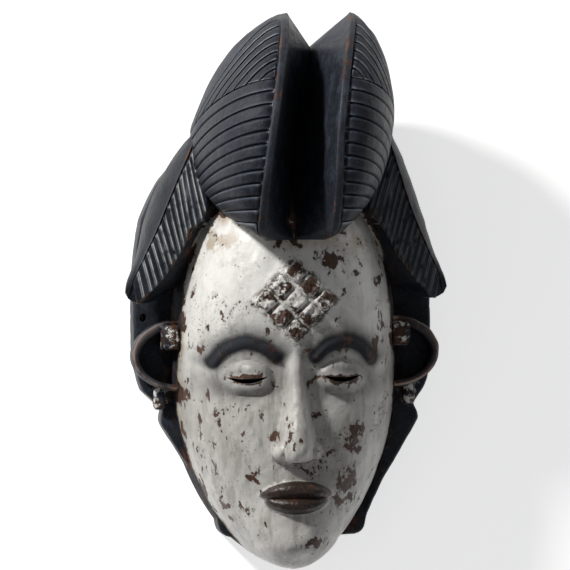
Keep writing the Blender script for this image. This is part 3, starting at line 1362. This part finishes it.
def hair_coat(finish, groups):
    """Satin blue-black pigment, rubbed to brown on its ridges, with pale dust in the side lines."""
    material, n = new_material("black_hair_coat")
    place = n.places()
    edge, groove, line, dusted = (n.attribute(key) for key in ("edge", "groove", "line", "dusted"))
    ear, lump, ridge_gap, face_gap = (n.attribute(key) for key in ("ear", "lump", "ridge_gap", "face_gap"))
    grain = n.group(groups["grain"], Vector=place, Scale=240.0)
    ridge = n.times(n.ramp(ridge_gap, 3.2, 0.3), n.plus(1.0, n.times(ear, -1.0)))
    worn_share = n.plus(n.times(ear, 1.3), n.times(ridge, 0.9), 0.14)
    rubbed = n.group(groups["rubbed"], Vector=place, Edge=edge, Amount=worn_share)["Rubbed"]
    amount = n.plus(
        n.times(ear, 0.22),
        n.times(lump, 0.14),
        n.times(ridge, 0.4),
        n.times(n.ramp(face_gap, 9.0, 1.0), 0.42),
        0.12,
    )
    chips = n.group(groups["chip"], Vector=place, Scale=95.0, Amount=amount)

    # The black, under dust that gathers on edges and in the side lines
    tone = n.ramp(n.noise(n.stretched(place, (1.0, 0.5, 1.0)), 34.0, 4.0, 0.6), 0.3, 0.75)
    fine_dust = n.ramp(n.noise(place, 330.0, 5.0, 0.7), 0.48, 0.66)
    mottle = n.ramp(n.noise(n.stretched(place, (1.0, 0.7, 1.0)), 130.0, 5.0, 0.65), 0.5, 0.68)
    dusting = n.plus(
        n.times(tone, 0.08),
        n.times(fine_dust, 0.17),
        n.times(mottle, 0.2),
        n.times(n.ramp(edge, 0.1, 0.45), 0.7),
    )
    dusting = n.math("MINIMUM", n.times(dusting, dusted), 0.95)
    black = n.mix(dusting, rgba(finish.blackening), rgba(finish.dust))
    broken = n.ramp(n.noise(place, 160.0, 4.0, 0.6), 0.28, 0.55)
    pale_edge = n.times(n.ramp(edge, 0.25, 0.6), broken, dusted, 0.55)
    black = n.mix(pale_edge, black, rgba(finish.pale_dust))
    black = n.mix(n.times(line, broken, 0.95), black, rgba(finish.pale_dust))

    # Bare wood on the ridges, and pale wear on the ears
    bare = n.mix(grain["Grain"], rgba(finish.chip), rgba(finish.bare_edge))
    lost = n.most(n.times(rubbed, 0.8), chips["Lost"])
    colour = n.mix(lost, black, bare)
    loop = n.plus(ear, n.times(lump, -1.0))
    broken_line = n.ramp(n.noise(place, 55.0, 4.0, 0.6), 0.36, 0.56)
    colour = n.mix(n.times(loop, n.ramp(edge, 0.1, 0.4), broken_line, 0.9), colour, rgba(finish.ear_wear))
    splash = n.times(lump, n.ramp(n.noise(place, 170.0, 6.0, 0.7), 0.53, 0.6), 0.95)
    colour = n.mix(splash, colour, rgba(finish.kaolin))

    rough = n.plus(n.times(tone, 0.14), n.times(mottle, 0.16), n.times(lost, 0.15), 0.42)
    height = n.plus(
        n.times(grain["Height"], 0.4),
        n.times(lost, -0.2),
        n.times(n.noise(place, 260.0, 4.0, 0.6), 0.3),
        n.times(n.noise(n.stretched(place, (1.0, 0.6, 1.0)), 110.0, 6.0, 0.7), 1.5),
        n.times(groove, -0.1),
    )
    n.surface(colour, rough, height, 0.001)["Specular IOR Level"].default_value = 0.22
    return material


def bare_wood(finish, groups):
    """Uncoated wood in the hollow and on the back, with gouge marks and grain."""
    material, n = new_material("bare_wood")
    place = n.places()
    grain = n.group(groups["grain"], Vector=place, Scale=180.0)
    grime = n.group(groups["grime"], Vector=place, Groove=n.attribute("groove"))
    wood = n.mix(grain["Grain"], rgba(finish.wood), rgba(finish.wood_dark))
    colour = n.mix(n.times(grime["Dirt"], 0.6), wood, rgba(finish.chip))
    rough = n.math("ADD", n.times(grime["Dirt"], 0.2), 0.6, clamp=True)
    n.surface(colour, rough, grain["Height"], 0.001)
    return material


def floor_paper():
    """Pale paper that glows from its upper side, apart from the ovals under the mask's openings."""
    material, n = new_material("pale_floor")
    shade = n.noise(n.places(), 30.0, 2.0, 0.5)
    colour = n.mix(n.times(shade, 0.05), (0.93, 0.93, 0.93, 1), (0.88, 0.88, 0.88, 1))
    clear = 1.0
    for centre, reach in (UNDER_HOLLOW, UNDER_TIE_HOLE):
        scale = [1 / size for size in reach]
        start = [-place / size for place, size in zip(centre, reach)]
        near = n.add("ShaderNodeMapping", None, Vector=n.places(), Location=start, Scale=scale).outputs[0]
        away = n.add("ShaderNodeVectorMath", {"operation": "LENGTH"}, _0=near).outputs["Value"]
        clear = n.times(n.ramp(away, 1.0, OVAL_EDGE), clear)
    clear = n.most(clear, n.add("ShaderNodeNewGeometry").outputs["Backfacing"])
    glow = n.mix(clear, (0, 0, 0, 1), (1, 1, 1, 1))
    shader = n.add("ShaderNodeBsdfPrincipled", None, Base_Color=colour, Roughness=0.9, Emission_Color=glow)
    shader.inputs["Emission Strength"].default_value = FLOOR_GLOW
    n.add("ShaderNodeOutputMaterial", None, Surface=shader.outputs[0])
    return material


# Operators


class MASK_OT_carve(bpy.types.Operator):
    """Carve the mask as one closed mesh in place of its solid"""

    bl_idname = "mask.carve"
    bl_label = "Carve Mask"

    def execute(self, context):
        carving = Carving(context.scene.mask_sizes)
        base, added, removed = carving.head(), carving.added(), carving.removed()
        piece = join_forms(base, added, removed)
        mesh = piece.data
        if len(mesh.polygons) < 1000:
            raise RuntimeError("the joined mask came out empty")
        zones = mark_zones(mesh, carving, [base, *added, *removed])
        places = carving.leaned(vertex_places(mesh))
        places[:, 1] -= carving.length / 2
        places[:, 2] = np.maximum(places[:, 2], 0)
        mesh.vertices.foreach_set("co", (places * MM).astype(np.float32).ravel())
        mesh.update()
        self.assign(piece, zones)
        mesh.shade_smooth()
        mesh.set_sharp_from_angle(angle=SHARP_TURN)
        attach(piece, ROOT_BODY)
        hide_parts(MASK_NODE)
        return {"FINISHED"}

    @staticmethod
    def assign(piece, zones):
        """Material places: 0 the white face, 1 the black hair, 2 bare wood, also where the mask is seated."""
        mesh = piece.data
        kind = np.where(np.isin(zones, (HEAD, BOSS)), 0, np.where(np.isin(zones, (HOLLOW, SLIT)), 2, 1))
        for polygon in mesh.polygons:
            kinds = [int(kind[v]) for v in polygon.vertices]
            choice = max(set(kinds), key=kinds.count)
            seated = all(mesh.vertices[v].co.z < SEAT_HEIGHT for v in polygon.vertices)
            polygon.material_index = 2 if seated else choice


class MASK_OT_paint(bpy.types.Operator):
    """Give the mask its white, black and bare wood finishes"""

    bl_idname = "mask.paint"
    bl_label = "Paint Mask"

    def execute(self, context):
        piece = bpy.data.objects.get("carved_mask")
        if piece is None:
            raise RuntimeError("carve the mask first")
        makers = {"grain": wood_grain_group, "chip": chip_group, "rubbed": rubbed_group, "grime": grime_group}
        groups = {name: make() for name, make in makers.items()}
        finish = context.scene.mask_finish
        coats = piece.data.materials
        for place, make in enumerate((face_coat, hair_coat, bare_wood)):
            coat = make(finish, groups)
            if place < len(coats):
                coats[place] = coat
            else:
                coats.append(coat)
        return {"FINISHED"}


class MASK_OT_stage(bpy.types.Operator):
    """Set the pale floor, the soft lights and the camera"""

    bl_idname = "mask.stage"
    bl_label = "Set Stage"

    def execute(self, context):
        studio = context.scene.mask_studio
        sides = ((-1, -1), (1, -1), (1, 1), (-1, 1))
        corners = [(x * FLOOR_REACH, y * FLOOR_REACH, 0) for x, y in sides]
        floor = link_mesh("floor", corners, [(0, 1, 2, 3)], context.scene.collection)
        floor.location.z = -FLOOR_DROP
        floor.data.materials.append(floor_paper())
        target = Vector(STAGE_TARGET)
        self.add_camera(context, studio, target)
        self.add_light(context, "key", studio.key_power, target, *KEY_LIGHT)
        self.add_light(context, "fill", studio.fill_power, target, *FILL_LIGHT)
        world = bpy.data.worlds.new("studio")
        world.use_nodes = True
        background = world.node_tree.nodes["Background"]
        background.inputs["Color"].default_value = (1, 1, 1, 1)
        background.inputs["Strength"].default_value = ROOM_LIGHT
        context.scene.world = world
        context.scene.view_settings.view_transform = "Standard"
        return {"FINISHED"}

    @staticmethod
    def add_camera(context, studio, target):
        lens = bpy.data.cameras.new("camera")
        lens.sensor_width = SENSOR_WIDTH
        lens.lens = SENSOR_WIDTH * studio.distance / studio.view_height
        lens.clip_end = CAMERA_REACH
        camera = bpy.data.objects.new("camera", lens)
        context.scene.collection.objects.link(camera)
        turn = Matrix.Rotation(studio.yaw, 4, "Y") @ Matrix.Rotation(studio.roll, 4, "Z")
        camera.matrix_world = Matrix.Translation(target) @ turn @ Matrix.Translation((0, 0, studio.distance))
        context.scene.camera = camera

    @staticmethod
    def add_light(context, name, power, target, way, distance, size, colour):
        lamp = bpy.data.lights.new(name, "AREA")
        lamp.shape = "DISK"
        lamp.size = size
        lamp.energy = power
        lamp.color = colour
        light = bpy.data.objects.new(name, lamp)
        context.scene.collection.objects.link(light)
        offset = Vector(way).normalized() * distance
        light.location = target + offset
        light.rotation_euler = offset.to_track_quat("Z", "Y").to_euler()


class MASK_PT_panel(bpy.types.Panel):
    """Sizes, finishes and steps of the mask"""

    bl_idname = "MASK_PT_panel"
    bl_label = "Carved Face Mask"
    bl_space_type = "VIEW_3D"
    bl_region_type = "UI"
    bl_category = "Mask"

    def draw(self, context):
        for group in (context.scene.mask_sizes, context.scene.mask_finish, context.scene.mask_studio):
            box = self.layout.box()
            for key in group.__annotations__:
                box.prop(group, key)
        for step in STEPS:
            self.layout.operator(step.bl_idname)


STEPS = (MASK_OT_carve, MASK_OT_paint, MASK_OT_stage)
GROUPS = (("mask_sizes", MaskSizes), ("mask_finish", MaskFinish), ("mask_studio", MaskStudio))


def register():
    for _, group in GROUPS:
        bpy.utils.register_class(group)
    for step in (*STEPS, MASK_PT_panel):
        bpy.utils.register_class(step)
    for name, group in GROUPS:
        setattr(bpy.types.Scene, name, bpy.props.PointerProperty(type=group))


def unregister():
    for name, _ in GROUPS:
        delattr(bpy.types.Scene, name)
    for step in (MASK_PT_panel, *reversed(STEPS)):
        bpy.utils.unregister_class(step)
    for _, group in reversed(GROUPS):
        bpy.utils.unregister_class(group)


def main():
    register()
    bpy.ops.mask.carve()
    bpy.ops.mask.paint()
    bpy.ops.mask.stage()


if __name__ == "__main__":
    main()
